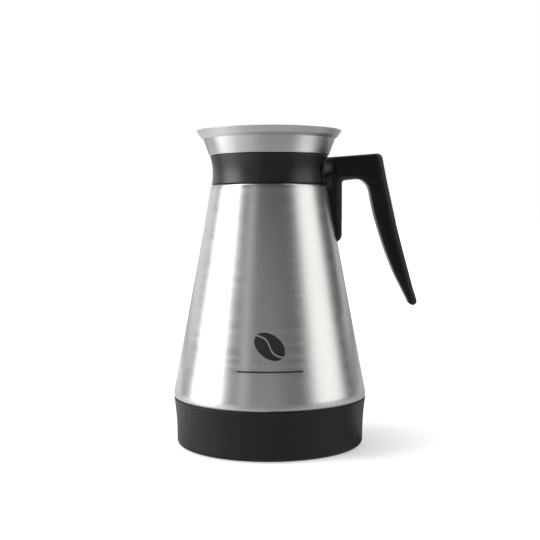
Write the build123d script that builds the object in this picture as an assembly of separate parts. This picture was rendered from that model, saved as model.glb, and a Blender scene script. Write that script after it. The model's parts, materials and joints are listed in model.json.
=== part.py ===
from build123d import *

# Thermal coffee carafe: a double-walled vacuum jug with a conical steel body, a flared
# pour funnel, a waisted neck collar carrying an open hook handle, a base cup, and a
# recessed brew-through lid with a turning cover and a mixing tube.
#
# Frame: +Z up, origin on the jug's axis in the plane of the foot ring, +X towards the
# handle. Millimetres and degrees. Profiles lie in the XZ plane as (radius or x, z), with
# the corner's fillet radius as an optional third column.

import math
import os

# ---------------------------------------------------------------- shared dimensions
# body shell, outer surface
SHELL_T = 0.6
SEAM_Z = 37.5            # underside of the rolled jog, where the base cup starts
SHELL_R_BOTTOM = 75.28   # cone radius carried down to the seam
SHELL_R_TOP = 44.76      # cone radius at the shoulder
SHOULDER_Z = 201.2
NECK_R = 41.4            # steel neck under the collar
NECK_SPLIT_Z = 212.0     # joint between the shell's neck and the funnel

# inner liner, outer surface
LINER_T = 0.5
LINER_Z = 26.0
LINER_R_BOTTOM = 62.1
LINER_NECK_R = 38.2
LINER_NECK_Z = 197.0
LINER_TOP_Z = 224.35     # underside of the flange that lies on the funnel's ledge

# neck collar
COLLAR_BOTTOM_Z, COLLAR_WAIST_Z, COLLAR_TOP_Z = 201.35, 211.6, 223.35
COLLAR_R_BOTTOM, COLLAR_R_WAIST, COLLAR_R_TOP = 44.55, 43.7, 45.65
COLLAR_R_IN = 41.5
SCREW_Z = 212.6          # axis of the handle screw

# base
BASE_TOP_Z = 36.9
FOOT_R_IN, FOOT_R_OUT = 59.0, 65.5

# lid
COVER_Z = 229.0          # underside of the turning cover
PORT_R_IN, PORT_R_OUT, PORT_HALF_ANGLE = 23.5, 32.0, 22.0
PORT_ANGLE = 180.0       # pour passage, on the side away from the handle


# ---------------------------------------------------------------- helpers
def unit(start, end):
    """Unit vector from start to end, both (x, z)."""
    dx, dz = end[0] - start[0], end[1] - start[1]
    length = math.hypot(dx, dz)
    return dx / length, dz / length


def with_radii(points):
    """Give every point a fillet radius, 0 where none is stated."""
    return [(*point, 0)[:3] for point in points]


def in_xz(point):
    return (point[0], 0, point[1])


def line_xz(start, end):
    return Line(in_xz(start), in_xz(end))


def arc_xz(start, middle, end):
    return ThreePointArc(in_xz(start), in_xz(middle), in_xz(end))


def lines(points):
    """Straight edges through points (x, z)."""
    return [line_xz(start, end) for start, end in zip(points, points[1:])]


def rounded_edges(points, closed=True):
    """Edges through points (x, z, fillet radius), with tangent arcs at the corners."""
    count = len(points)
    corners = []  # (arc start, arc middle or None, arc end)
    for i, (x, z, radius) in enumerate(points):
        corner = ((x, z), None, (x, z))
        if radius > 0 and (closed or 0 < i < count - 1):
            back = unit((x, z), points[i - 1])
            ahead = unit((x, z), points[(i + 1) % count])
            cosine = back[0] * ahead[0] + back[1] * ahead[1]
            half = math.acos(max(-1.0, min(1.0, cosine))) / 2
            if abs(half - math.pi / 2) >= 1e-4:  # a straight run needs no arc
                reach = radius / math.tan(half)
                inward = unit((0, 0), (back[0] + ahead[0], back[1] + ahead[1]))
                depth = radius / math.sin(half) - radius
                corner = (
                    (x + back[0] * reach, z + back[1] * reach),
                    (x + inward[0] * depth, z + inward[1] * depth),
                    (x + ahead[0] * reach, z + ahead[1] * reach),
                )
        corners.append(corner)
    edges = []
    for i, (start, middle, end) in enumerate(corners):
        if middle is not None:
            edges.append(arc_xz(start, middle, end))
        if closed or i < count - 1:
            following = corners[(i + 1) % count][0]
            if math.dist(following, end) > 1e-6:
                edges.append(line_xz(end, following))
    return edges


def revolved(edges):
    """Full revolution about Z of closed XZ edges."""
    return revolve(Face(Wire(edges)), Axis.Z, 360)


def spin(points):
    """Full revolution about Z of a closed outline."""
    return revolved(rounded_edges(with_radii(points)))


def sheet_outline(path, thickness):
    """Closed outline of a sheet that lies to the left of path."""
    path = with_radii(path)
    far_side = []
    for i, (x, z, radius) in enumerate(path):
        after = unit(path[i], path[i + 1]) if i < len(path) - 1 else unit(path[-2], path[-1])
        before = unit(path[i - 1], path[i]) if i > 0 else after
        normal = (-before[1] - after[1], before[0] + after[0])
        scale = thickness * 2 / (normal[0] ** 2 + normal[1] ** 2)
        turns_left = before[0] * after[1] - before[1] * after[0] > 0
        if radius > 0:
            radius = max(radius - thickness, 0.05) if turns_left else radius + thickness
        far_side.append((x + normal[0] * scale, z + normal[1] * scale, radius))
    return path + far_side[::-1]


def sheet(path, thickness):
    return spin(sheet_outline(path, thickness))


def cyl(radius, bottom, top, x=0.0, y=0.0):
    return Pos(x, y, (bottom + top) / 2) * Cylinder(radius, top - bottom)


def cyl_x(radius, x_start, x_end):
    """Cylinder along X on the handle screw's axis."""
    middle = (x_start + x_end) / 2
    return Pos(middle, 0, SCREW_Z) * Rot(0, 90, 0) * Cylinder(radius, x_end - x_start)


def tube(r_in, r_out, bottom, top):
    return spin([(r_in, bottom), (r_out, bottom), (r_out, top), (r_in, top)])


def block(x_start, x_end, width, bottom, top):
    """Box centred on the XZ plane."""
    place = Pos((x_start + x_end) / 2, 0, (bottom + top) / 2)
    return place * Box(x_end - x_start, width, top - bottom)


def kidney(r_in, r_out, half_angle, bottom, top, centre_angle, corner=1.6):
    """Curved slot about the Z axis, with rounded corners."""
    def polar(radius, offset):
        angle = math.radians(centre_angle + offset)
        return (radius * math.cos(angle), radius * math.sin(angle), 0)

    face = Face(Wire([
        ThreePointArc(polar(r_out, -half_angle), polar(r_out, 0), polar(r_out, half_angle)),
        Line(polar(r_out, half_angle), polar(r_in, half_angle)),
        ThreePointArc(polar(r_in, half_angle), polar(r_in, 0), polar(r_in, -half_angle)),
        Line(polar(r_in, -half_angle), polar(r_out, -half_angle)),
    ]))
    solid = Pos(0, 0, bottom) * extrude(face, top - bottom, dir=(0, 0, 1))
    return fillet(solid.edges().filter_by(Axis.Z), corner)


def port(bottom, top, angle=PORT_ANGLE):
    """Cutter for the pour port."""
    return kidney(PORT_R_IN, PORT_R_OUT, PORT_HALF_ANGLE, bottom, top, angle)


def fillet_bottom(shape, radius):
    return fillet(shape.edges().group_by(Axis.Z)[0], radius)


def largest(shape):
    return sorted(shape.solids(), key=lambda solid: solid.volume)[-1]


def write(name, shape):
    solids = shape.solids()
    out = solids[0] if len(solids) == 1 else Compound(children=list(solids))
    out.label = name
    export_step(out, f"parts/{name}.step")


def cone_r(z):
    """Outer radius of the body cone at height z."""
    slope = (SHELL_R_TOP - SHELL_R_BOTTOM) / (SHOULDER_Z - SEAM_Z)
    return SHELL_R_BOTTOM + slope * (z - SEAM_Z)


def liner_r(z):
    """Outer radius of the liner's cone at height z."""
    slope = (LINER_NECK_R - LINER_R_BOTTOM) / (LINER_NECK_Z - LINER_Z)
    return LINER_R_BOTTOM + slope * (z - LINER_Z)


def collar_arc(offset=0.0):
    """The collar's waisted outer side, from bottom to top, moved out by offset."""
    return arc_xz(
        (COLLAR_R_BOTTOM + offset, COLLAR_BOTTOM_Z),
        (COLLAR_R_WAIST + offset, COLLAR_WAIST_Z),
        (COLLAR_R_TOP + offset, COLLAR_TOP_Z),
    )


# ---------------------------------------------------------------- vacuum vessel
LINER_DOME = 2.5         # rise of the liner's floor at its centre
EVAC_Y = 30.0            # evacuation hole in the outer bottom
EASE_Z = 41.5            # below this the cone eases towards upright


def outer_shell():
    """Skirt inside the base cup, rolled jog, cone, shoulder and lower neck."""
    return sheet([
        (69.4, 8.6),
        (70.2, SEAM_Z, 1.0),
        (74.79, SEAM_Z, 1.3),
        (cone_r(EASE_Z), EASE_Z, 42.0),
        (SHELL_R_TOP, SHOULDER_Z, 2.0),
        (NECK_R, SHOULDER_Z, 0.8),
        (NECK_R, NECK_SPLIT_Z),
    ], SHELL_T)


def outer_bottom():
    """Pressed bottom inside the skirt, with the evacuation hole."""
    path = [(0.0, 12.0), (48.0, 12.0, 4.0), (54.0, 9.0, 4.0), (68.7, 9.0, 2.0), (68.7, 17.0)]
    return sheet(path, thickness=0.8) - cyl(2.5, 10, 15, y=EVAC_Y)


def vacuum_seal_plug():
    """Solder plug that closes the evacuation hole."""
    head = cyl(5.0, 10.9, 11.98, y=EVAC_Y)
    stem = cyl(2.45, 11.5, 12.9, y=EVAC_Y)
    return fillet_bottom(head + stem, 0.5)


def inner_liner():
    """Domed floor, cone, neck and the flange on the funnel's ledge."""
    return sheet([
        (0.0, LINER_Z + LINER_DOME),
        (30.0, LINER_Z + LINER_DOME, 20.0),
        (48.0, LINER_Z, 20.0),
        (LINER_R_BOTTOM, LINER_Z, 10.0),
        (LINER_NECK_R, LINER_NECK_Z, 30.0),
        (LINER_NECK_R, LINER_TOP_Z, 0.8),
        (44.6, LINER_TOP_Z),
    ], LINER_T)


def radiation_foil():
    """Aluminium foil wrapped round the liner's cone."""
    bottom, top = 46.0, 186.0
    gap_in, gap_out = 0.25, 0.40  # foil faces, measured out from the liner
    return spin([
        (liner_r(bottom) + gap_in, bottom), (liner_r(bottom) + gap_out, bottom),
        (liner_r(top) + gap_out, top), (liner_r(top) + gap_in, top),
    ])


def getter_capsule():
    """Capsule on the liner's underside."""
    return fillet_bottom(cyl(5.0, LINER_Z - 0.3, LINER_Z + LINER_DOME - 0.04, x=18.0), 0.6)


def pour_funnel():
    """Upper neck, ledge over the collar, flared wall and lip."""
    ledge_z = 223.5
    path = [
        (NECK_R, NECK_SPLIT_Z + 0.05),
        (NECK_R, ledge_z, 0.8),
        (46.2, ledge_z, 1.25),
        (50.11, 234.0, 5.0),
        (50.60, 236.1, 1.0),   # crease between the flare and the lip
        (52.65, 238.15, 6.0),
        (56.1, 242.3),         # rim
    ]
    outline = sheet_outline(path, thickness=0.8)
    # round both corners of the rim's cut edge
    rim = len(path) - 1
    outline[rim] = (*outline[rim][:2], 0.35)
    outline[rim + 1] = (*outline[rim + 1][:2], 0.45)
    return spin(outline)


# ---------------------------------------------------------------- neck collar
PLATE_HALF_ANGLE = 17.5
PLATE_BOTTOM_Z, PLATE_TOP_Z = 206.2, 219.0


def collar_segment(r_in, r_out, clearance=0.0, angle_clearance=0.0):
    """Piece of a ring on the +X side, the clamp plate's size plus the clearances."""
    bottom, top = PLATE_BOTTOM_Z - clearance, PLATE_TOP_Z + clearance
    angle = math.radians(PLATE_HALF_ANGLE + angle_clearance)
    x, y = 60 * math.cos(angle), 60 * math.sin(angle)
    centre, right, left = (0, 0, 0), (x, -y, 0), (x, y, 0)
    wedge = Face(Wire([Line(centre, right), Line(right, left), Line(left, centre)]))
    sector = Pos(0, 0, bottom) * extrude(wedge, top - bottom, dir=(0, 0, 1))
    return tube(r_in, r_out, bottom, top) & sector


def neck_collar():
    """Waisted collar, split at the handle side, with a pocket for the clamp plate."""
    chamfer_size = 1.0       # lead-in that clears the bend radii of the steel
    split_width = 8.6
    chamfer_r = COLLAR_R_IN + chamfer_size
    collar = revolved(
        lines([(chamfer_r, COLLAR_BOTTOM_Z), (COLLAR_R_BOTTOM, COLLAR_BOTTOM_Z)])
        + [collar_arc()]
        + lines([
            (COLLAR_R_TOP, COLLAR_TOP_Z),
            (chamfer_r, COLLAR_TOP_Z),
            (COLLAR_R_IN, COLLAR_TOP_Z - chamfer_size),
            (COLLAR_R_IN, COLLAR_BOTTOM_Z + chamfer_size),
            (chamfer_r, COLLAR_BOTTOM_Z),
        ])
    )
    rims = [e for e in collar.edges() if e.geom_type == GeomType.CIRCLE and e.radius > 44]
    collar = fillet(rims, 0.45)
    collar -= block(30, 60, split_width, 195, 230)
    return collar - collar_segment(COLLAR_R_IN - 1, COLLAR_R_IN + 1.15, 0.4, 0.6)


def collar_clamp_plate():
    """Plate across the split, with a bored boss that reaches out through it."""
    plate = collar_segment(COLLAR_R_IN + 0.05, COLLAR_R_IN + 1.05)
    plate = plate + cyl_x(3.7, COLLAR_R_IN + 0.45, 47.4)
    return plate - cyl_x(2.0, 40, 50)


# ---------------------------------------------------------------- handle
HANDLE_HALF_W = 10.0
HANDLE_EDGE_R = 3.0
FIN_X = 56.05            # outer edge of the fin beside the body
FIN_TIP_Z = 162.3        # where the fin's tip starts to round in
BLANK_X = 40.0           # the side view runs in to here before the seat is cut
BLANK_BOTTOM_Z = 153.3
ARM_START_Z = 221.5      # height of the arm's top line at BLANK_X

# side view of the hook (x, z): outer edge downwards, inner edge upwards,
# then the bow up to the underside of the arm
HOOK_OUTER = [
    (88.1, 217.0), (90.05, 206.9), (94.0, 188.6), (97.45, 173.0), (101.25, 157.6),
    (105.35, 142.2), (109.55, 126.7), (112.25, 117.4), (114.056, 111.514),
]
HOOK_INNER = [
    (108.096, 109.531), (104.85, 116.2), (101.65, 122.6), (98.5, 128.8), (95.6, 135.2),
    (91.85, 144.7), (88.45, 154.1), (85.5, 163.6), (82.65, 173.0), (80.35, 182.5),
    (78.5, 191.5),
]
HOOK_BOW = [HOOK_INNER[-1], (77.5, 196.6), (75.0, 201.7), (71.3, 204.7), (66.6, 205.4)]


def spline_xz(points, start, end):
    """Spline through (x, z) points with start and end tangents (x, z)."""
    return Spline([in_xz(p) for p in points], tangents=[in_xz(start), in_xz(end)])


def handle_blank():
    """Arm, hook and fin as a flat bar with sharp edges."""
    arm_top = [(BLANK_X, ARM_START_Z, 0), (86.55, 225.05, 4.6), (*HOOK_OUTER[0], 0)]
    arm_under = [(*HOOK_BOW[-1], 0), (FIN_X, 204.2, 2.6), (FIN_X, FIN_TIP_Z, 0)]
    side = Face(Wire(
        rounded_edges(arm_top, closed=False)
        + [
            spline_xz(HOOK_OUTER, (0.2, -1), (0.2425, -0.970)),
            arc_xz(HOOK_OUTER[-1], (111.992, 107.761), HOOK_INNER[0]),
            spline_xz(HOOK_INNER, (-0.387, 0.922), (-0.2, 1)),
            spline_xz(HOOK_BOW, (-0.2, 1), (-1, -0.03)),
        ]
        + rounded_edges(arm_under, closed=False)
        + [arc_xz((FIN_X, FIN_TIP_Z), (FIN_X - 0.54, 159.9), (FIN_X - 2.0, 158.0))]
        + lines([
            (FIN_X - 2.0, 158.0),
            (FIN_X - 7.5, BLANK_BOTTOM_Z),
            (BLANK_X, BLANK_BOTTOM_Z),
            (BLANK_X, ARM_START_Z),
        ])
    ))
    return extrude(side, HANDLE_HALF_W, dir=(0, 1, 0), both=True)


def handle_bar():
    """The blank with rounded side edges, apart from those near the body."""
    bar = handle_blank()
    side_edges = [
        e for e in bar.edges()
        if abs(abs(e.center().Y) - HANDLE_HALF_W) < 1e-6 and e.center().X > 44.5
    ]
    return fillet(side_edges, HANDLE_EDGE_R)


def saddle():
    """Strap of even thickness that follows the collar's waist, with cut top corners."""
    thickness = 1.5
    half_width, half_width_top = 18.9, 16.6
    bottom, corner_z, top = 201.9, 216.8, 221.7
    ring = revolved(
        lines([(40.0, COLLAR_BOTTOM_Z), (COLLAR_R_BOTTOM + thickness, COLLAR_BOTTOM_Z)])
        + [collar_arc(thickness)]
        + lines([
            (COLLAR_R_TOP + thickness, COLLAR_TOP_Z),
            (40.0, COLLAR_TOP_Z),
            (40.0, COLLAR_BOTTOM_Z),
        ])
    )
    mask = Polyline(
        (0, -half_width, bottom), (0, half_width, bottom), (0, half_width, corner_z),
        (0, half_width_top, top), (0, -half_width_top, top), (0, -half_width, corner_z),
        (0, -half_width, bottom),
    )
    return ring & Pos(30, 0, 0) * extrude(Face(Wire(mask.edges())), 30, dir=(1, 0, 0))


def tilted(shape, angle, x, z):
    """Tilt shape about the Y direction through (x, z)."""
    return Pos(x, 0, z) * Rot(0, -angle, 0) * Pos(-x, 0, -z) * shape


def wing(side):
    """Concave web from the arm to the saddle's end; side is +1 or -1 in Y."""
    bottom, top = 208.9, 217.0
    root_x, saddle_x, arm_x = 36.0, 38.8, 52.3
    tip_y = side * 21.0
    bend, middle = (47.0, side * 13.85, 0), (49.45, side * 11.68, 0)
    arm_end = (arm_x, side * 9.8, 0)
    plan = Face(Wire([
        Line((root_x, tip_y, 0), (saddle_x, tip_y, 0)),
        Line((saddle_x, tip_y, 0), bend),
        ThreePointArc(bend, middle, arm_end),
        Line(arm_end, (arm_x, 0, 0)),
        Line((arm_x, 0, 0), (root_x, 0, 0)),
        Line((root_x, 0, 0), (root_x, tip_y, 0)),
    ]))
    web = Pos(0, 0, bottom) * extrude(plan, top - bottom, dir=(0, 0, 1))
    rim = [
        e for e in web.edges()
        if min(abs(e.center().Z - bottom), abs(e.center().Z - top)) < 1e-3
        and abs(e.center().Y) > 10.2 and e.center().X > saddle_x
    ]
    return tilted(fillet(rim, 0.9), angle=6.0, x=45, z=213)  # climbs with the arm


def gusset(side):
    """Slim web from the saddle's foot down the fin's side; side is +1 or -1 in Y."""
    x, top = 39.0, 205.4
    outer = (x, side * 14.8, top)
    inner = (x, side * 8.5, top)
    foot = (x, side * 8.5, 191.5)
    face = Face(Wire([
        Line(outer, inner),
        Line(inner, foot),
        ThreePointArc(foot, (x, side * 10.9, 198.6), outer),
    ]))
    web = extrude(face, 5.8, dir=(1, 0, 0))
    far = [e for e in web.edges() if e.geom_type == GeomType.CIRCLE and e.center().X > 44.0]
    return tilted(fillet(far, 0.9), angle=14, x=44.8, z=204.5)  # leans with the cone


def handle_seat():
    """Space taken by the collar, shoulder and cone, with a running gap."""
    gap = 0.12
    bottom, cone_top, top = 150.0, 200.2, 232.0
    return revolved(
        lines([
            (0, bottom),
            (cone_r(bottom) + gap, bottom),
            (cone_r(cone_top) + gap, cone_top),
            (COLLAR_R_BOTTOM + gap, COLLAR_BOTTOM_Z),
        ])
        + [collar_arc(gap)]
        + lines([
            (COLLAR_R_TOP + gap, COLLAR_TOP_Z),
            (COLLAR_R_TOP + gap, top),
            (0, top),
            (0, bottom),
        ])
    )


def handle():
    body = handle_bar() + saddle() + wing(1) + wing(-1)
    body = body + gusset(1) + gusset(-1)
    body = body - handle_seat()
    body = body - cyl_x(3.85, 40, 47.6)   # pocket for the clamp plate's boss
    body = body - cyl_x(2.2, 45, 60)      # screw hole
    body = body - cyl_x(4.6, 58.0, 100)   # counterbore from the outer side
    return largest(body)


def handle_screw():
    screw = cyl_x(1.95, 43.4, 59.0) + cyl_x(3.5, 58.85, 62.8)
    hexagon = extrude(RegularPolygon(1.75, 6), 3, both=True)
    return screw - Pos(61.8, 0, SCREW_Z) * Rot(0, 90, 0) * hexagon


def handle_screw_washer():
    return cyl_x(4.3, 58.02, 58.82) - cyl_x(2.15, 57, 60)


def handle_screw_cap():
    """Cap in the counterbore, cut flush with the handle's outer edge."""
    return largest(cyl_x(4.52, 83.5, 100) & handle_blank())


# ---------------------------------------------------------------- base
CUP_R_TOP = 74.75
CUP_R_BOTTOM = 72.4
CUP_R_IN = 70.7
CUP_BOTTOM_Z = 0.6
CUP_FLOOR_Z = 4.5        # upper side of the cup's floor
RIB_COUNT = 12


def base_cup():
    """Moulded cup with a groove for the foot ring and a raised centre for the screw."""
    groove_in, groove_out = FOOT_R_IN - 0.1, FOOT_R_OUT + 0.1
    wall_foot = (CUP_R_BOTTOM, 3.8)
    wall = [(CUP_R_TOP, BASE_TOP_Z), (73.85, 29.9), (72.95, 20.0), (72.5, 10.5), wall_foot]
    underside_edge = (CUP_R_BOTTOM - 3.2, CUP_BOTTOM_Z)
    floor = [
        underside_edge, (groove_out, CUP_BOTTOM_Z), (groove_out, 2.6), (groove_in, 2.6),
        (groove_in, CUP_BOTTOM_Z), (56.5, CUP_BOTTOM_Z), (55.5, 2.2), (12.0, 2.2),
        (7.6, 2.2), (7.6, 6.6), (2.2, 6.6), (2.2, 8.15), (10.0, 8.15),
        (10.6, CUP_FLOOR_Z), (68.6, CUP_FLOOR_Z),
    ]
    cup = revolved(
        [
            line_xz((CUP_R_IN, BASE_TOP_Z), (CUP_R_TOP, BASE_TOP_Z)),
            Spline([in_xz(point) for point in wall]),
            arc_xz(wall_foot, (CUP_R_BOTTOM - 0.94, 1.54), underside_edge),
        ]
        + lines(floor)
        + [
            arc_xz(floor[-1], (70.08, 5.12), (CUP_R_IN, 6.6)),
            line_xz((CUP_R_IN, 6.6), (CUP_R_IN, BASE_TOP_Z)),
        ]
    )
    top_edge = [
        e for e in cup.edges()
        if e.geom_type == GeomType.CIRCLE
        and abs(e.center().Z - BASE_TOP_Z) < 1e-3 and e.radius > 73
    ]
    cup = fillet(top_edge, 0.45)
    # radial stiffening ribs under the floor
    for i in range(RIB_COUNT):
        rib = block(13.0, 55.2, width=1.6, bottom=0.9, top=2.3)
        cup = cup + Rot(0, 0, 360 / RIB_COUNT * (i + 0.5)) * rib
    return cup


def base_seal_ring():
    return tube(71.4, 74.0, BASE_TOP_Z + 0.02, SEAM_Z - 0.02)


def base_insulation_pad():
    return tube(55.0, 66.5, CUP_FLOOR_Z + 0.05, 8.95)


def foot_ring():
    top = 2.55
    return spin([
        (FOOT_R_IN, top), (FOOT_R_IN, 0.0, 0.5), (FOOT_R_OUT, 0.0, 0.5), (FOOT_R_OUT, top),
    ])


def base_bracket():
    """Hat-shaped bracket under the outer bottom, bored for the base screw."""
    hat = [
        (-27.0, 12.0), (-27.0, 11.0), (-15.0, 11.0), (-15.0, 8.2), (15.0, 8.2), (15.0, 11.0),
        (27.0, 11.0), (27.0, 12.0), (14.0, 12.0), (14.0, 9.2), (-14.0, 9.2), (-14.0, 12.0),
    ]
    face = Face(Wire(lines(hat + hat[:1])))
    return extrude(face, 9.0, dir=(0, 1, 0), both=True) - cyl(2.0, 5, 15)


def base_screw():
    """Screw with a cross recess in the underside of its head."""
    head_z = 3.55
    slot_length, slot_width, slot_height = 4.6, 1.0, 2.2
    screw = cyl(1.95, 5.6, 11.6) + cyl(3.8, head_z, 5.78)
    along_x = Box(slot_length, slot_width, slot_height)
    along_y = Box(slot_width, slot_length, slot_height)
    return screw - Pos(0, 0, head_z) * (along_x + along_y)


def base_screw_washer():
    return tube(2.15, 6.6, 5.8, 6.58)


def base_screw_cap():
    return fillet_bottom(cyl(7.5, 2.3, 3.4), 0.35)


# ---------------------------------------------------------------- lid plug
PLUG_R = 36.9            # sliding fit in the liner's neck
PLUG_BOTTOM_Z = 205.0
PLUG_TOP_Z = 228.0
GROOVE_R = 35.2          # floor of the gasket groove
GROOVE_BOTTOM_Z, GROOVE_TOP_Z = 213.4, 218.6


def lid_plug():
    """Hollow plug, open below, with a centre socket and a walled pour passage."""
    seat_z = LINER_TOP_Z + LINER_T + 0.05
    flange_r, flange_chamfer = 44.2, 0.4
    plug = spin([
        (33.4, PLUG_BOTTOM_Z), (PLUG_R - 0.8, PLUG_BOTTOM_Z), (PLUG_R, 206.0),
        (PLUG_R, GROOVE_BOTTOM_Z), (GROOVE_R, GROOVE_BOTTOM_Z),
        (GROOVE_R, GROOVE_TOP_Z), (PLUG_R, GROOVE_TOP_Z),
        (PLUG_R, seat_z), (flange_r - flange_chamfer, seat_z),
        (flange_r, seat_z + flange_chamfer), (flange_r, PLUG_TOP_Z - flange_chamfer),
        (flange_r - flange_chamfer, PLUG_TOP_Z), (8.0, PLUG_TOP_Z),
        (8.0, 214.0), (9.5, 214.0), (9.5, PLUG_BOTTOM_Z),
        (11.5, PLUG_BOTTOM_Z), (11.5, 226.0), (33.4, 226.0),
    ])
    chute = kidney(PORT_R_IN - 1.5, 33.6, PORT_HALF_ANGLE + 3.2, PLUG_BOTTOM_Z, 226.4,
                   PORT_ANGLE, corner=2.2)
    return plug + chute - port(200.0, 235.0)


def lid_plug_bottom():
    """Disc that closes the plug from below."""
    return tube(9.6, 36.0, 203.0, PLUG_BOTTOM_Z - 0.05) - port(200.0, 235.0)


def lid_insulation():
    """Foam that fills the plug round the pour passage."""
    clearance = kidney(PORT_R_IN - 1.7, 34.5, PORT_HALF_ANGLE + 3.7, 204.0, 227.0,
                       PORT_ANGLE, corner=2.3)
    return tube(11.7, 33.2, 205.1, 225.9) - clearance


def lid_gasket():
    """Wiper gasket in the plug's groove, with two lips towards the liner's neck."""
    back_r, lip_r = GROOVE_R + 0.05, 37.65
    bottom, top = GROOVE_BOTTOM_Z + 0.1, GROOVE_TOP_Z - 0.1
    return spin([
        (back_r, bottom), (36.7, bottom), (37.1, 214.2), (lip_r, 214.5), (lip_r, 215.0),
        (36.9, 215.4), (36.9, 216.6), (lip_r, 217.0), (lip_r, 217.5), (37.1, 217.8),
        (36.7, top), (back_r, top),
    ])


def cover_seal_disc():
    """Flat face seal between the plug and the turning cover."""
    return tube(10.6, 36.0, PLUG_TOP_Z + 0.02, COVER_Z - 0.1) - port(227.0, 230.0)


def mixing_tube():
    """Head in the plug's socket, stop flange and long pipe with slots near its foot."""
    bore_r, pipe_r, head_r, flange_r = 6.2, 7.2, 9.45, 12.5
    bottom, flange_top, top = 42.0, 202.95, 211.6
    pipe = spin([
        (bore_r, bottom), (pipe_r, bottom), (pipe_r, 199.0), (flange_r, 201.2),
        (flange_r, flange_top), (head_r, flange_top), (head_r, 211.0), (9.0, top),
        (bore_r, top),
    ])
    for i in range(4):
        pipe -= Rot(0, 0, 45 + 90 * i) * block(3, 10, width=3.6, bottom=46.0, top=56.0)
    return pipe


# ---------------------------------------------------------------- turning cover
COVER_R = 46.0
COVER_RIM_Z = 237.2
COVER_PORT_ANGLE = 90.0
BREW_R = 6.0             # brew-through hole
STEM_R = 7.95            # stem that passes down through the plug


def finger_tab(angle):
    tab = block(28.0, 43.0, width=3.4, bottom=231.0, top=240.4)
    tab = fillet(tab.edges().filter_by(Axis.Z), 1.5)
    tab = fillet(tab.faces().sort_by(Axis.Z)[-1].edges(), 1.1)
    return Rot(0, 0, angle) * tab


def pointer():
    """Raised triangle beside the notch, pointing outwards along +Y."""
    left, right, tip = (-2.2, 35.0, 0), (2.2, 35.0, 0), (0, 39.0, 0)
    face = Face(Wire([Line(left, right), Line(right, tip), Line(tip, left)]))
    return Pos(0, 0, 231.5) * extrude(face, 1.4, dir=(0, 0, 1))


def lid_cover():
    """Dished cover on a grooved stem, with a port, a rim notch and two finger tabs."""
    cover = spin([
        (BREW_R, 211.9), (STEM_R, 211.9), (STEM_R, 212.4), (7.2, 212.4), (7.2, 213.6),
        (STEM_R, 213.6), (STEM_R, COVER_Z), (COVER_R - 1.2, COVER_Z, 0.8),
        (COVER_R, COVER_Z + 2.0, 1.5), (COVER_R, COVER_RIM_Z, 0.8),
        (COVER_R - 2.0, COVER_RIM_Z, 0.8), (COVER_R - 2.6, 232.4, 1.5),
        (9.5, 231.0, 2.0), (7.6, 231.0), (BREW_R, 230.0),
    ])
    cover -= port(227.0, 240.0, COVER_PORT_ANGLE)
    # pour notch in the raised rim beside the port
    cover -= kidney(38.0, 50.0, 16.0, 232.6, 240.0, COVER_PORT_ANGLE, corner=2.5)
    cover = cover + finger_tab(0) + finger_tab(180)
    return largest(cover + pointer())


def cover_retaining_ring():
    """Split ring in the stem's groove."""
    return tube(7.3, 9.3, 212.5, 213.5) - block(5, 12, width=3.2, bottom=210, top=216)


# ---------------------------------------------------------------- output
PIECES = [
    outer_shell, outer_bottom, vacuum_seal_plug, inner_liner, radiation_foil,
    getter_capsule, pour_funnel, neck_collar, collar_clamp_plate,
    handle, handle_screw, handle_screw_washer, handle_screw_cap,
    base_cup, base_seal_ring, base_insulation_pad, foot_ring,
    base_bracket, base_screw, base_screw_washer, base_screw_cap,
    lid_plug, lid_plug_bottom, lid_insulation, lid_gasket, cover_seal_disc,
    mixing_tube, lid_cover, cover_retaining_ring,
]

os.makedirs("parts", exist_ok=True)
for build in PIECES:
    write(build.__name__, build())
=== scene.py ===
"""Thermal coffee carafe: materials, spun funnel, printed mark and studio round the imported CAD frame.

Metres, +Z up, standing on a table at z = 0. The handle points to +X, the front and the camera to -Y.
"""

import json
import math
import random
from functools import reduce

import bpy
import bmesh
from mathutils import Matrix, Vector


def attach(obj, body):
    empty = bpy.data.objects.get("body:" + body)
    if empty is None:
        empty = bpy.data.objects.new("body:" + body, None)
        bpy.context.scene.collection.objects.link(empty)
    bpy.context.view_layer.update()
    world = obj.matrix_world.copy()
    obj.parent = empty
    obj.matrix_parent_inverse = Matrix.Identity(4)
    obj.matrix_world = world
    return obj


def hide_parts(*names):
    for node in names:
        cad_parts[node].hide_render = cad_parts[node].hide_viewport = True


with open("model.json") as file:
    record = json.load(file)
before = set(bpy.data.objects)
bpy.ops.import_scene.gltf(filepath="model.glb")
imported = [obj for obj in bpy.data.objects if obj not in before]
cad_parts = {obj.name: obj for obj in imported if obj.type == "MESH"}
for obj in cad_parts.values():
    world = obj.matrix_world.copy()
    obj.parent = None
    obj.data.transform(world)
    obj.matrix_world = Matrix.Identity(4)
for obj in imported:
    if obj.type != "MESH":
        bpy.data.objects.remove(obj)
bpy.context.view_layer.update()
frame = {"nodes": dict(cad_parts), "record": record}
NODES = frame["nodes"]
random.seed(11)


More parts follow.
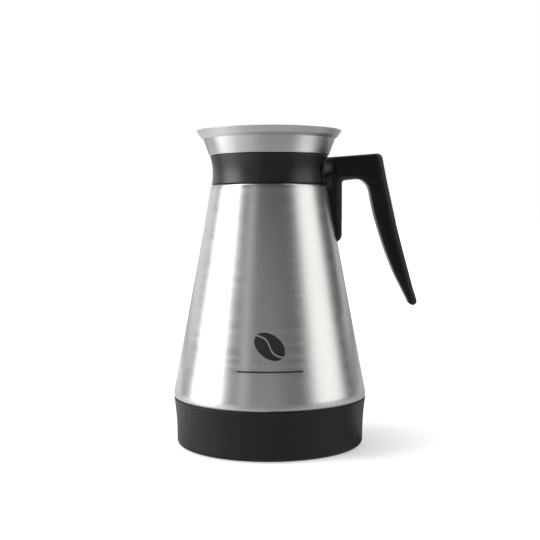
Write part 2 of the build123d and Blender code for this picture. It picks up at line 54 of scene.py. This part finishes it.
# ------------------------------------------------------------------ node helpers
class Graph:
    """Builds the shader nodes of one tree from Python expressions."""

    def __init__(self, tree):
        self.tree = tree
        self.x = 0

    def node(self, kind, **settings):
        node = self.tree.nodes.new(kind)
        self.x += 40
        node.location = (self.x, -(self.x % 400))
        for key, value in settings.items():
            setattr(node, key, value)
        return node

    def feed(self, socket, value):
        """Link the value if it is a socket, otherwise store it."""
        if isinstance(value, bpy.types.NodeSocket):
            self.tree.links.new(value, socket)
        else:
            socket.default_value = value

    def math(self, operation, a, b=0.0):
        node = self.node("ShaderNodeMath", operation=operation)
        for socket, value in zip(node.inputs, (a, b, 0.0)):
            self.feed(socket, value)
        return node.outputs[0]

    def add(self, a, b):
        return self.math("ADD", a, b)

    def sub(self, a, b):
        return self.math("SUBTRACT", a, b)

    def mul(self, a, b):
        return self.math("MULTIPLY", a, b)

    def vary(self, noise, amount):
        """Noise centred on zero, scaled by amount."""
        return self.mul(self.sub(noise, 0.5), amount)

    def step(self, value, low, high, at_low=0.0, at_high=1.0):
        """Smooth step from at_low, where value is low, to at_high, where it is high."""
        node = self.node("ShaderNodeMapRange", interpolation_type="SMOOTHSTEP")
        self.feed(node.inputs["Value"], value)
        labels = ("From Min", "From Max", "To Min", "To Max")
        for label, number in zip(labels, (low, high, at_low, at_high)):
            node.inputs[label].default_value = number
        return node.outputs["Result"]

    def window(self, value, rise, fall, level=1.0):
        """Climbs to level across the rise pair and drops back to zero across the fall pair."""
        up = self.step(value, *rise)
        down = self.step(value, *fall, 1.0, 0.0)
        return self.mul(self.mul(up, down), level)

    def tent(self, value, centre, half):
        """Peak of 1 at centre, falling straight to 0 at half to either side."""
        off = self.math("ABSOLUTE", self.sub(value, centre))
        return self.math("MAXIMUM", self.sub(1.0, self.math("DIVIDE", off, half)), 0.0)

    def mix_colour(self, factor, a, b):
        node = self.node("ShaderNodeMix", data_type="RGBA")
        for index, value in ((0, factor), (6, a), (7, b)):
            self.feed(node.inputs[index], value)
        return node.outputs[2]

    def spread(self, factor, tint, amount):
        """Colour between a darker and a lighter version of tint."""
        dark = (*[t * (1 - amount) for t in tint], 1)
        light = (*[t * (1 + amount) for t in tint], 1)
        return self.mix_colour(factor, dark, light)

    def split(self, vector):
        node = self.node("ShaderNodeSeparateXYZ")
        self.feed(node.inputs[0], vector)
        return node.outputs

    def position(self):
        """World x, y and z in metres."""
        return self.split(self.node("ShaderNodeNewGeometry").outputs["Position"])

    def coords(self, scale):
        source = self.node("ShaderNodeTexCoord")
        mapping = self.node("ShaderNodeMapping")
        self.feed(mapping.inputs["Vector"], source.outputs["Object"])
        mapping.inputs["Scale"].default_value = scale
        return mapping.outputs["Vector"]

    def noise(self, scale, detail=2.0, rough=0.5):
        """Noise with scale features per metre along x, y and z."""
        vector = self.coords(scale)
        node = self.node("ShaderNodeTexNoise")
        self.feed(node.inputs["Vector"], vector)
        node.inputs["Scale"].default_value = 1.0
        node.inputs["Detail"].default_value = detail
        node.inputs["Roughness"].default_value = rough
        return node.outputs["Fac"]

    def bump(self, height, strength, distance):
        node = self.node("ShaderNodeBump")
        node.inputs["Strength"].default_value = strength
        node.inputs["Distance"].default_value = distance
        self.feed(node.inputs["Height"], height)
        return node.outputs["Normal"]

    def bearings(self, x, y):
        """Bearing in degrees, 0 to the camera and +90 to the right: as -180..180 and 0..360."""
        angle = self.math("ARCTAN2", x, self.mul(y, -1.0))
        signed = self.mul(angle, 180.0 / math.pi)
        wrap = self.mul(self.math("LESS_THAN", signed, 0.0), 360.0)
        return signed, self.add(signed, wrap)

    def panel(self, bearings, start, end, level, soft=(4.0, 4.0)):
        """A glow between two bearings; soft is the half-width of each edge in degrees."""
        bearing = bearings[1] if end > 180.0 else bearings[0]
        rise = (start - soft[0], start + soft[0])
        fall = (end - soft[1], end + soft[1])
        return self.window(bearing, rise, fall, level)


def new_material(name):
    """The material, its graph and the inputs of its Principled shader."""
    material = bpy.data.materials.new(name)
    material.use_nodes = True
    tree = material.node_tree
    return material, Graph(tree), tree.nodes["Principled BSDF"].inputs


# ------------------------------------------------------------------ materials
def brushed_steel(name, tint=(0.60, 0.595, 0.58), rough=0.22, aniso=0.85, streak=0.05,
                  lines=420.0, painted_bands=(), foot_painted_shade=None, rim_matt=None, foot_satin=None):
    """Steel brushed round the vertical axis, so highlights stretch upright.

    painted_bands: ramps of painted light and shade by height (z from, z to, factor below, factor
    above)
    foot_painted_shade: painted shade over the steel's reflection, low on the left; depth is the
    darkening at its far left
    rim_matt: roughness ramp (z from, z to, added below, added above)
    foot_satin: softer finish below the z pair; rough is added, aniso_loss taken off
    """
    material, g, inputs = new_material(name)
    fine = g.noise((26.0, 26.0, 5200.0), rough=0.6)
    mid = g.noise((9.0, 9.0, lines), detail=3.0, rough=0.65)
    wide = g.noise((2.2, 2.2, 60.0))
    cloud = g.noise((14.0, 14.0, 14.0), detail=4.0, rough=0.6)

    # brightness varies a little from scratch band to scratch band, and with cloudy soiling
    change = g.add(g.vary(mid, streak * 2.0), g.vary(fine, streak * 1.2))
    change = g.add(change, g.vary(wide, streak * 0.35))
    change = g.sub(change, g.mul(g.step(cloud, 0.52, 0.75), 0.015))
    brightness = g.add(1.0, change)
    # painted light and shade by height, then painted shade low on the left
    if painted_bands:
        height = g.position()[2]
        for band in painted_bands:
            brightness = g.mul(brightness, g.step(height, *band))
        # painted shade over the steel's reflection, low on the left above the foot
        if foot_painted_shade:
            x = g.position()[0]
            low = g.step(height, *foot_painted_shade["z"], 1.0, 0.0)
            left_shade = g.mul(low, g.step(x, *foot_painted_shade["x"], foot_painted_shade["depth"], 0.0))
            brightness = g.mul(brightness, g.sub(1.0, left_shade))
    colour = g.node("ShaderNodeRGB").outputs[0]
    colour.default_value = (*tint, 1.0)
    shade = g.node("ShaderNodeHueSaturation")
    g.feed(shade.inputs["Color"], colour)
    g.feed(shade.inputs["Value"], brightness)
    g.feed(inputs["Base Color"], shade.outputs["Color"])
    inputs["Metallic"].default_value = 1.0

    roughness = g.add(rough, g.add(g.vary(mid, 0.10), g.vary(cloud, 0.06)))
    if rim_matt:
        roughness = g.add(roughness, g.step(g.position()[2], *rim_matt))
    if foot_satin:
        soft = g.step(g.position()[2], *foot_satin["z"], 1.0, 0.0)
        roughness = g.add(roughness, g.mul(soft, foot_satin["rough"]))
        aniso = g.mul(aniso, g.sub(1.0, g.mul(soft, foot_satin["aniso_loss"])))
    g.feed(inputs["Anisotropic"], aniso)
    g.feed(inputs["Roughness"], roughness)
    tangent = g.node("ShaderNodeTangent", direction_type="RADIAL", axis="Z")
    g.feed(inputs["Tangent"], tangent.outputs[0])
    scratches = g.add(g.mul(fine, 0.6), g.mul(mid, 0.4))
    g.feed(inputs["Normal"], g.bump(scratches, strength=0.12, distance=0.00004))
    return material


def plain_metal(name, tint, rough, scale=(400, 400, 400)):
    """Lightly mottled bare metal."""
    material, g, inputs = new_material(name)
    grain = g.noise(scale, detail=3.0, rough=0.6)
    patches = g.noise((90, 90, 90), detail=4.0, rough=0.6)
    g.feed(inputs["Base Color"], g.spread(grain, tint, amount=0.1))
    inputs["Metallic"].default_value = 1.0
    g.feed(inputs["Roughness"], g.add(rough - 0.06, g.mul(patches, 0.12)))
    g.feed(inputs["Normal"], g.bump(grain, strength=0.15, distance=0.00003))
    return material


def web_painted_sheen(g, level, web):
    """Painted reflection: scale the gloss on the webs beside the collar, where it dies out towards the
    arm.
    """
    x, y, z = g.position()
    bottom, top = web["z"]
    outside = g.step(g.math("ABSOLUTE", y), *web["y"])
    above = g.step(z, bottom - web["blend"], bottom)
    below = g.step(z, top, top + web["blend"], 1.0, 0.0)
    here = g.mul(g.mul(outside, above), below)
    gloss = g.step(x, *web["x"], *web["gloss"])
    return g.mul(level, g.add(1.0, g.mul(here, g.sub(gloss, 1.0))))


def edge_painted_highlight(g, level, normal, gloss):
    """Painted highlight: raise the gloss where a rounded edge starts to turn towards +X, clear of the
    collar.
    """
    lean = g.split(normal)
    spot = g.position()
    past = g.step(spot[0], 0.0530, 0.0545)
    under = g.step(spot[2], 0.2050, 0.2070, 1.0, 0.0)
    clear = g.add(past, g.mul(g.sub(1.0, past), under))
    turning = g.window(lean[0], rise=(0.03, 0.11), fall=(0.22, 0.50), level=gloss)
    return g.mul(level, g.add(1.0, g.mul(clear, turning)))


def moulded(name, tint, rough, grain=0.00002, spec=0.5, mottled=0.25,
            wear=0.0, edge_radius=0.0, edge_highlight_gain=0.0, web=None):
    """Moulded plastic with a fine grain and slight mottling of colour and gloss.

    grain is the bump depth; wear smooths sharp edges; edge_radius rounds them in shading.
    """
    material, g, inputs = new_material(name)
    fine = g.noise((2600.0,) * 3, rough=0.55)
    mid = g.noise((240.0,) * 3, detail=3.0, rough=0.55)
    wide = g.noise((26.0,) * 3, detail=4.0, rough=0.6)
    blotches = g.add(g.mul(wide, 0.6), g.mul(mid, 0.4))
    g.feed(inputs["Base Color"], g.spread(blotches, tint, mottled))

    roughness = g.add(rough - 0.07, g.add(g.mul(wide, 0.09), g.mul(mid, 0.05)))
    if wear:
        geometry = g.node("ShaderNodeNewGeometry")
        edge = g.step(geometry.outputs["Pointiness"], 0.505, 0.56)
        roughness = g.sub(roughness, g.mul(edge, wear))
    g.feed(inputs["Roughness"], roughness)

    specular = inputs["Specular IOR Level"]
    specular.default_value = spec
    level = spec
    # painted reflection on the webs beside the collar, fading towards the arm
    if web:
        level = web_painted_sheen(g, level, web)
    relief = g.add(g.mul(fine, 0.75), g.mul(mid, 0.25))
    normal = g.bump(relief, strength=0.35, distance=grain)
    if edge_radius:
        bevel = g.node("ShaderNodeBevel", samples=6)
        bevel.inputs["Radius"].default_value = edge_radius
        g.feed(normal.node.inputs["Normal"], bevel.outputs[0])
        # painted highlight along rounded edges turning towards +X
        level = edge_painted_highlight(g, level, bevel.outputs[0], edge_highlight_gain)
    if web or edge_radius:
        g.feed(specular, level)
    g.feed(inputs["Normal"], normal)
    return material


def foam_material(name, tint):
    """Open foam with darker cell centres."""
    material, g, inputs = new_material(name)
    cells = g.node("ShaderNodeTexVoronoi")
    g.feed(cells.inputs["Vector"], g.coords((900, 900, 900)))
    distance = cells.outputs["Distance"]
    colour = g.mix_colour(distance, (*[t * 0.7 for t in tint], 1), (*tint, 1))
    g.feed(inputs["Base Color"], colour)
    inputs["Roughness"].default_value = 0.9
    g.feed(inputs["Normal"], g.bump(distance, strength=0.5, distance=0.0002))
    return material


# bands of painted light and shade, as (z from, z to, factor below, factor above)
BODY_PAINTED_LIGHT = (
    (0.1965, 0.2004, 1.0, 0.80),  # painted shade under the collar, deepened by the next band
    (0.1994, 0.2010, 1.0, 0.70),
    (0.0380, 0.0406, 1.10, 1.0),  # painted highlight along the rolled bottom edge
)
FUNNEL_PAINTED_LIGHT = (
    (0.23535, 0.2360, 1.0, 0.84),  # painted shade along the crease
    (0.2372, 0.2380, 1.0, 1.19),   # brighter again on the rolled lip, ending the painted shade along the crease
)
# painted reflection on the webs: gloss runs from 1.15 to 0.12 across the x pair, where |y| is past the
# y pair
HANDLE_WEB_SHEEN = dict(x=(0.0430, 0.0502), y=(0.00998, 0.01012), z=(0.2080, 0.2180),
                  blend=0.0006, gloss=(1.15, 0.12))

MATERIALS = {
    "brushed_steel_body": brushed_steel(
        "steel_body", painted_bands=BODY_PAINTED_LIGHT,
        foot_satin=dict(z=(0.0372, 0.0436), rough=0.32, aniso_loss=0.5),
        # painted shade over the reflection low on the left, above the foot
        foot_painted_shade=dict(z=(0.0385, 0.0440), x=(-0.062, -0.040), depth=0.30)),
    "bright_steel_funnel": brushed_steel(
        "steel_funnel", tint=(0.60, 0.595, 0.585), rough=0.24, aniso=0.8, streak=0.04,
        lines=700.0, rim_matt=(0.2356, 0.2366, 0.0, 0.12), painted_bands=FUNNEL_PAINTED_LIGHT),
    "liner_steel": brushed_steel(
        "steel_liner", tint=(0.55, 0.545, 0.53), rough=0.33, aniso=0.5, streak=0.04),
    "plated_hardware": plain_metal("plated_hardware", tint=(0.52, 0.52, 0.52), rough=0.32),
    "foil": plain_metal("foil", tint=(0.80, 0.80, 0.81), rough=0.22, scale=(200, 200, 40)),
    "getter_metal": plain_metal("getter_metal", tint=(0.35, 0.35, 0.36), rough=0.5),
    "solder": plain_metal("solder", tint=(0.50, 0.49, 0.45), rough=0.45),
    "black_handle_plastic": moulded(
        "black_handle", tint=(0.0008, 0.0008, 0.0009), rough=0.30, spec=0.36, wear=0.05,
        edge_radius=0.0052, edge_highlight_gain=2.1, web=HANDLE_WEB_SHEEN),
    "black_collar_plastic": moulded(
        "black_collar", tint=(0.0018, 0.0024, 0.0031), rough=0.36, spec=0.60),
    "black_base_plastic": moulded(
        "black_base", tint=(0.0058, 0.0061, 0.0066), rough=0.50, spec=0.34),
    "black_lid_plastic": moulded("black_lid", tint=(0.008, 0.008, 0.0085), rough=0.38),
    "natural_plastic": moulded(
        "natural_plastic", tint=(0.50, 0.49, 0.45), rough=0.42, mottled=0.06),
    "black_rubber": moulded("black_rubber", tint=(0.012, 0.012, 0.012), rough=0.62, spec=0.35),
    "grey_silicone": moulded(
        "grey_silicone", tint=(0.20, 0.205, 0.21), rough=0.5, mottled=0.1, spec=0.4),
    "foam": foam_material("foam", tint=(0.62, 0.60, 0.53)),
}
for part in frame["record"]["subparts"]:
    slots = NODES[part["node"]].data.materials
    slots.clear()
    slots.append(MATERIALS[part["material_slot"]])


def add_object(name, mesh):
    ob = bpy.data.objects.new(name, mesh)
    bpy.context.scene.collection.objects.link(ob)
    return ob


# ------------------------------------------------------------------ spun funnel
# closed outline as (radius, height, corner radius) in mm: the outer face from the weld upwards,
# round the rolled rim, then the inner face back down to the weld; the first corner stays sharp
FUNNEL = [
    (41.40, 212.05, 0.0), (41.40, 223.50, 0.8), (46.20, 223.50, 1.25),
    (50.78, 236.00, 0.35), (52.95, 237.95, 2.2), (56.08, 242.28, 0.35),
    (55.44, 242.76, 0.40), (52.30, 238.45, 3.0), (50.12, 236.45, 1.1),
    (45.62, 224.32, 0.5), (40.60, 224.30, 1.5), (40.60, 212.05, 0.2),
]
FUNNEL_TURNS = 288
CORNER_STEPS = 7
MM_PER_M = 1000


def right_of(direction):
    return Vector((direction.y, -direction.x))


def rounded_outline(outline):
    """Points and outward normals round a closed outline, its first corner left sharp."""
    spots = [Vector(point[:2]) for point in outline]
    out = [(spots[0], right_of((spots[1] - spots[0]).normalized()))]
    for i in range(1, len(outline)):
        here, rad = spots[i], outline[i][2]
        d0 = (here - spots[i - 1]).normalized()
        d1 = (spots[(i + 1) % len(spots)] - here).normalized()
        n0, n1 = right_of(d0), right_of(d1)
        cut = rad * math.tan(math.acos(d0.dot(d1)) / 2)
        turns_left = d0.x * d1.y - d0.y * d1.x > 0
        bulge = rad if turns_left else -rad
        centre = here - d0 * cut - n0 * bulge
        for k in range(CORNER_STEPS + 1):
            normal = n0.slerp(n1, k / CORNER_STEPS).normalized()
            out.append((centre + normal * bulge, normal))
    return out


def spun(name, outline, body):
    """A closed ring of sheet metal turned from a closed outline."""
    profile = rounded_outline(outline)
    verts, normals = [], []
    for k in range(FUNNEL_TURNS):
        angle = 2 * math.pi * k / FUNNEL_TURNS
        c, s = math.cos(angle), math.sin(angle)
        for p, n in profile:
            verts.append((p.x * c / MM_PER_M, p.x * s / MM_PER_M, p.y / MM_PER_M))
            normals.append((n.x * c, n.x * s, n.y))
    count = len(profile)
    faces = []
    for k in range(FUNNEL_TURNS):
        this, after = k * count, (k + 1) % FUNNEL_TURNS * count
        for i in range(count):
            j = (i + 1) % count
            faces.append((this + i, after + i, after + j, this + j))
    mesh = bpy.data.meshes.new(name)
    mesh.from_pydata(verts, [], faces)
    mesh.validate()
    for poly in mesh.polygons:
        poly.use_smooth = True
    mesh.normals_split_custom_set_from_vertices(normals)
    ob = add_object(name, mesh)
    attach(ob, body)
    return ob


funnel = spun("funnel_spun", FUNNEL, "vessel")
funnel.data.materials.append(MATERIALS["bright_steel_funnel"])
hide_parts("pour_funnel")


# ------------------------------------------------------------------ printed mark
PROBE_HEIGHTS = (0.060, 0.180)
PROBE_RAYS = 48
PRINT_LOW, PRINT_HIGH = -0.00004, 0.00007  # lift of the print's two faces off the steel

BEAN_Z = 0.0835
BEAN_HALF_LENGTH = 0.0125
BEAN_HALF_WIDTH = 0.0084
BEAN_GAP = 0.0013
BEAN_TILT = math.radians(52)
BEAN_REACH = 0.985      # how near the rows come to the tips
BEAN_MIN_WIDTH = 0.00004
BEAN_ROWS, BEAN_COLUMNS = 60, 12

RULE_Z = 0.0655
RULE_HALF_LENGTH = 0.0245
RULE_HALF_WIDTH = 0.00062
RULE_ROWS, RULE_COLUMNS = 80, 4


def probe_shell():
    """The shell's cone, probed: a radius, the height it holds at, and its change per metre."""
    shell = NODES["outer_shell"]
    radii = []
    for z in PROBE_HEIGHTS:
        best = 0.0
        for k in range(PROBE_RAYS):
            angle = math.radians(k * 360 / PROBE_RAYS + 0.9)
            out = Vector((math.sin(angle), -math.cos(angle), 0.0))
            hit, place, _, _ = shell.ray_cast(out * 0.2 + Vector((0, 0, z)), -out)
            if hit:
                best = max(best, math.hypot(place.x, place.y))
        radii.append(best)
    z0, z1 = PROBE_HEIGHTS
    return radii[0], z0, (radii[1] - radii[0]) / (z1 - z0)


SHELL_RADIUS, SHELL_Z, SHELL_TAPER = probe_shell()


def on_shell(u, v, z0, lift):
    """A point u along the girth from the front and v up the slope from z0, lifted off the steel."""
    slope = math.hypot(1.0, SHELL_TAPER)
    z = z0 + v / slope
    r = SHELL_RADIUS + SHELL_TAPER * (z - SHELL_Z)
    angle = u / r
    r += lift / slope
    z -= SHELL_TAPER / slope * lift
    return Vector((r * math.sin(angle), -r * math.cos(angle), z))


def slab(name, grid, z0):
    """A closed thin pad from a grid of (u, v) points, laid on the shell."""
    bm = bmesh.new()
    rows, cols = len(grid), len(grid[0])
    top, bottom = [
        [[bm.verts.new(on_shell(u, v, z0, lift)) for u, v in row] for row in grid]
        for lift in (PRINT_HIGH, PRINT_LOW)
    ]
    for i in range(rows - 1):
        for j in range(cols - 1):
            bm.faces.new((top[i][j], top[i][j + 1], top[i + 1][j + 1], top[i + 1][j]))
            bm.faces.new((bottom[i][j], bottom[i + 1][j], bottom[i + 1][j + 1], bottom[i][j + 1]))
    ring = [(0, j) for j in range(cols)] + [(i, cols - 1) for i in range(1, rows)]
    ring += [(rows - 1, j) for j in range(cols - 2, -1, -1)]
    ring += [(i, 0) for i in range(rows - 2, 0, -1)]
    for (a, b), (c, d) in zip(ring, ring[1:] + ring[:1]):
        bm.faces.new((bottom[a][b], bottom[c][d], top[c][d], top[a][b]))
    bmesh.ops.recalc_face_normals(bm, faces=bm.faces)
    mesh = bpy.data.meshes.new(name)
    bm.to_mesh(mesh)
    bm.free()
    ob = add_object(name, mesh)
    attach(ob, "vessel")
    return ob


def bean_half(name, side):
    """Half of a coffee bean, on one side (-1 or 1) of its S-shaped crease."""
    c, s = math.cos(BEAN_TILT), math.sin(BEAN_TILT)
    grid = []
    for i in range(BEAN_ROWS + 1):
        # rows bunch up towards the tips
        t = math.sin((-BEAN_REACH + 2 * BEAN_REACH * i / BEAN_ROWS) * math.pi / 2)
        swing = math.sin(t * math.pi * 0.92) * (1 - 0.35 * t * t)
        inner = 0.30 * BEAN_HALF_WIDTH * swing + side * BEAN_GAP / 2
        outer = side * BEAN_HALF_WIDTH * math.sqrt(max(0.0, 1 - t * t))
        if side * (outer - inner) < BEAN_MIN_WIDTH:
            outer = inner + side * BEAN_MIN_WIDTH
        y = t * BEAN_HALF_LENGTH
        row = []
        for j in range(BEAN_COLUMNS + 1):
            x = inner + (outer - inner) * j / BEAN_COLUMNS
            row.append((x * c - y * s, x * s + y * c))
        grid.append(row)
    return slab(name, grid, BEAN_Z)


def rule():
    """A plain printed rule with rounded ends."""
    grid = []
    for i in range(RULE_ROWS + 1):
        x = math.sin((-1 + 2 * i / RULE_ROWS) * math.pi / 2) * RULE_HALF_LENGTH
        over = max(0.0, abs(x) - (RULE_HALF_LENGTH - RULE_HALF_WIDTH))
        w = math.sqrt(max(0.0, RULE_HALF_WIDTH ** 2 - over ** 2))
        w = max(w, RULE_HALF_WIDTH * 0.12)
        grid.append([(x, -w + 2 * w * j / RULE_COLUMNS) for j in range(RULE_COLUMNS + 1)])
    return slab("printed_rule", grid, RULE_Z)


marks = [bean_half("printed_bean_left", -1), bean_half("printed_bean_right", 1), rule()]
ink = moulded("printed_ink", tint=(0.013, 0.013, 0.013), rough=0.52, grain=0.00001, spec=0.3,
              mottled=0.3)
for mark in marks:
    mark.data.materials.append(ink)

# ------------------------------------------------------------------ studio
scene = bpy.context.scene
scene.view_settings.view_transform = "Standard"
scene.view_settings.look = "None"
scene.view_settings.exposure = 0.0
scene.view_settings.gamma = 1.0

# softboxes and cards round the table: start and end bearing, level, half-widths of the edges
WALLS = (
    (161.2, 238.1, 0.93, (3.0, 2.5)),    # white wall behind, to the left
    (-128.0, -104.0, 0.17),              # black flag beside the key box, not quite black
    (-101.6, -62.6, 4.60, (2.5, 2.5)),   # key softbox, left
    (-78.6, -72.1, 0.50),                # its hotter middle
    (-35.3, -29.7, 1.30, (3.9, 2.1)),    # narrow reflector strip
    (-60.0, 60.0, 0.10, (10.0, 10.0)),   # dark room behind the camera
    (53.4, 98.0, 1.65, (8.3, 3.0)),      # fill softbox, right
    (120.9, 156.0, 0.66, (3.1, 4.0)),    # white card, right
)


def build_world():
    world = bpy.data.worlds.new("studio")
    scene.world = world
    world.use_nodes = True
    world.node_tree.nodes.clear()
    g = Graph(world.node_tree)
    x, y, z = g.split(g.node("ShaderNodeTexCoord").outputs["Generated"])
    bearings = g.bearings(x, y)
    elevation = g.mul(g.math("ARCSINE", z), 180.0 / math.pi)
    light = reduce(g.add, [g.panel(bearings, *wall) for wall in WALLS])
    # a low glow from the front
    low_glow = g.add(g.mul(g.tent(elevation, centre=5.0, half=10.0), 0.39),
                     g.mul(g.tent(elevation, centre=15.0, half=10.0), 0.21))
    light = g.add(light, g.mul(low_glow, g.tent(bearings[0], centre=0.0, half=40.0)))
    light = g.mul(light, g.window(elevation, rise=(-60, -30), fall=(78, 89)))
    # the camera itself sees plain white
    path = g.node("ShaderNodeLightPath")
    seen = g.node("ShaderNodeMix", data_type="FLOAT")
    for index, value in ((0, path.outputs["Is Camera Ray"]), (2, light), (3, 1.0)):
        g.feed(seen.inputs[index], value)
    background = g.node("ShaderNodeBackground")
    background.inputs["Color"].default_value = (1, 1, 1, 1)
    g.feed(background.inputs["Strength"], seen.outputs[0])
    g.feed(g.node("ShaderNodeOutputWorld").inputs["Surface"], background.outputs[0])


# glows on the table, laid out like WALLS, far out and close in
FAR_BASE = 0.22
FAR = dict(
    left=(-107.0, -62.5, 0.88, (8.0, 8.0)),
    back_left=(-152.0, -107.0, 0.08, (8.0, 8.0)),
    front_left=(-60.5, -25.0, 0.67, (8.0, 12.0)),
    right=(57.2, 94.0, 1.50, (12.0, 8.0)),
    back_right=(116.0, 152.5, 0.45, (8.0, 10.0)),
    back=(152.5, 232.0, 0.71, (10.0, 6.0)),
)
NEAR = dict(
    front=(-75.4, 76.0, 0.54, (15.0, 15.0)),
    front_right=(40.0, 66.0, 0.08, (12.0, 12.0)),
    left=(-140.0, -75.4, 1.75, (10.0, 15.0)),
    right=(96.0, 114.0, 1.50, (8.0, 8.0)),
    back_right=(114.0, 158.0, 0.40, (8.0, 8.0)),
)
# ramps by distance from the axis: from, to, value at from, value at to
FAR_LEFT_GAIN = (0.42, 0.66, 1.0, 2.2)
FAR_RIGHT_GAIN = (0.38, 0.70, 1.0, 0.1)
NEAR_LEFT_GAIN = (0.11, 0.24, 0.45, 1.0)
FAR_FADE = (0.9, 1.8, 1.0, 0.45)
LEE_DEPTH = (0.080, 0.150, 0.26, 0.0)
TABLE_WHITENING = (0.35, 1.1, 0.0, 0.6)
NEAR_TO_FAR = (0.22, 0.55)
FOOT_SHADE_END = (0.09, 0.17)
FOOT_SHADE = (20.0, 90.0, 0.95, 0.38)  # the same by bearing, deeper on the right


def reflected_glow(g, away, bearings):
    """What the steel sees of the table: brighter towards the softboxes."""
    def panel(entry):
        return g.panel(bearings, *entry)

    left = g.mul(g.add(panel(FAR["left"]), panel(FAR["back_left"])),
                 g.step(away, *FAR_LEFT_GAIN))
    left = g.add(g.add(FAR_BASE, left), panel(FAR["front_left"]))
    right = g.mul(panel(FAR["right"]), g.step(away, *FAR_RIGHT_GAIN))
    far = g.add(left, g.add(right, g.add(panel(FAR["back_right"]), panel(FAR["back"]))))

    front = g.add(panel(NEAR["front"]), panel(NEAR["front_right"]))
    left = g.mul(panel(NEAR["left"]), g.step(away, *NEAR_LEFT_GAIN))
    right = g.add(panel(NEAR["right"]), panel(NEAR["back_right"]))
    near = g.add(g.add(front, left), right)
    # the carafe's own shade round its foot
    shade = g.step(bearings[0], *FOOT_SHADE)
    foot = g.step(away, *FOOT_SHADE_END)
    near = g.mul(near, g.add(shade, g.mul(g.sub(1.0, shade), foot)))

    outer = g.step(away, *NEAR_TO_FAR)
    far = g.mul(far, g.mul(outer, g.step(away, *FAR_FADE)))
    return g.add(far, g.mul(near, g.sub(1.0, outer)))


def floor_material():
    """Pale table lit from below, so shadows stay light; it fades to plain white far away."""
    material = bpy.data.materials.new("floor")
    material.use_nodes = True
    material.node_tree.nodes.clear()
    g = Graph(material.node_tree)
    x, y, _ = g.position()
    away = g.math("SQRT", g.add(g.mul(x, x), g.mul(y, y)))
    bearings = g.bearings(x, y)
    glow = reflected_glow(g, away, bearings)
    path = g.node("ShaderNodeLightPath")
    gloss = g.node("ShaderNodeEmission", name="em_gloss")
    g.feed(gloss.inputs["Strength"], glow)

    table = g.node("ShaderNodeEmission", name="em_table")
    # the carafe keeps the right side of the table in shade
    lee = g.mul(g.window(bearings[0], rise=(25.0, 62.0), fall=(110.0, 160.0)),
                g.step(away, *LEE_DEPTH))
    strength = g.add(g.mul(0.60, g.sub(1.0, lee)), g.step(away, *TABLE_WHITENING))
    g.feed(table.inputs["Strength"], strength)
    diffuse = g.node("ShaderNodeBsdfDiffuse")
    grain = g.noise((120, 120, 120), detail=3.0)
    colour = g.mix_colour(grain, (0.345, 0.345, 0.345, 1), (0.355, 0.355, 0.355, 1))
    g.feed(diffuse.inputs["Color"], colour)
    both = g.node("ShaderNodeAddShader")
    g.feed(both.inputs[0], diffuse.outputs[0])
    g.feed(both.inputs[1], table.outputs[0])
    choice = g.node("ShaderNodeMixShader")
    g.feed(choice.inputs[0], path.outputs["Is Glossy Ray"])
    g.feed(choice.inputs[1], both.outputs[0])
    g.feed(choice.inputs[2], gloss.outputs[0])
    g.feed(g.node("ShaderNodeOutputMaterial").inputs["Surface"], choice.outputs[0])
    return material


def build_floor():
    bm = bmesh.new()
    bmesh.ops.create_grid(bm, x_segments=2, y_segments=2, size=30.0)
    mesh = bpy.data.meshes.new("floor")
    bm.to_mesh(mesh)
    bm.free()
    add_object("floor", mesh)
    mesh.materials.append(floor_material())


def area_light(name, place, target, size, power):
    """A square light aimed at target and hidden from reflections."""
    light = bpy.data.lights.new(name, "AREA")
    light.shape = "RECTANGLE"
    light.size = size
    light.size_y = size
    light.energy = power
    ob = add_object(name, light)
    ob.location = place
    aim = Vector(target) - Vector(place)
    ob.rotation_euler = aim.to_track_quat("-Z", "Y").to_euler()
    ob.visible_glossy = False


def build_camera():
    camera = bpy.data.cameras.new("camera")
    ob = add_object("camera", camera)
    camera.sensor_width = 36.0
    camera.lens = 65.426667
    camera.shift_x = 0.00105556
    camera.shift_y = 0.000925926
    camera.clip_start = 0.01
    camera.clip_end = 100.0
    ob.location = (0.0, -0.7652, 0.1773)
    down, roll = 3.204, -0.17  # degrees
    tilt = Matrix.Rotation(math.radians(90.0 - down), 3, "X")
    ob.rotation_euler = (tilt @ Matrix.Rotation(math.radians(roll), 3, "Z")).to_euler()
    scene.camera = ob


build_world()
build_floor()
area_light("key_left", place=(-1.5, -0.3, 1.5), target=(0, 0, 0.05), size=1.1, power=22.0)
area_light("top_fill", place=(0.0, 0.2, 2.4), target=(0, 0, 0), size=2.6, power=52.0)
build_camera()
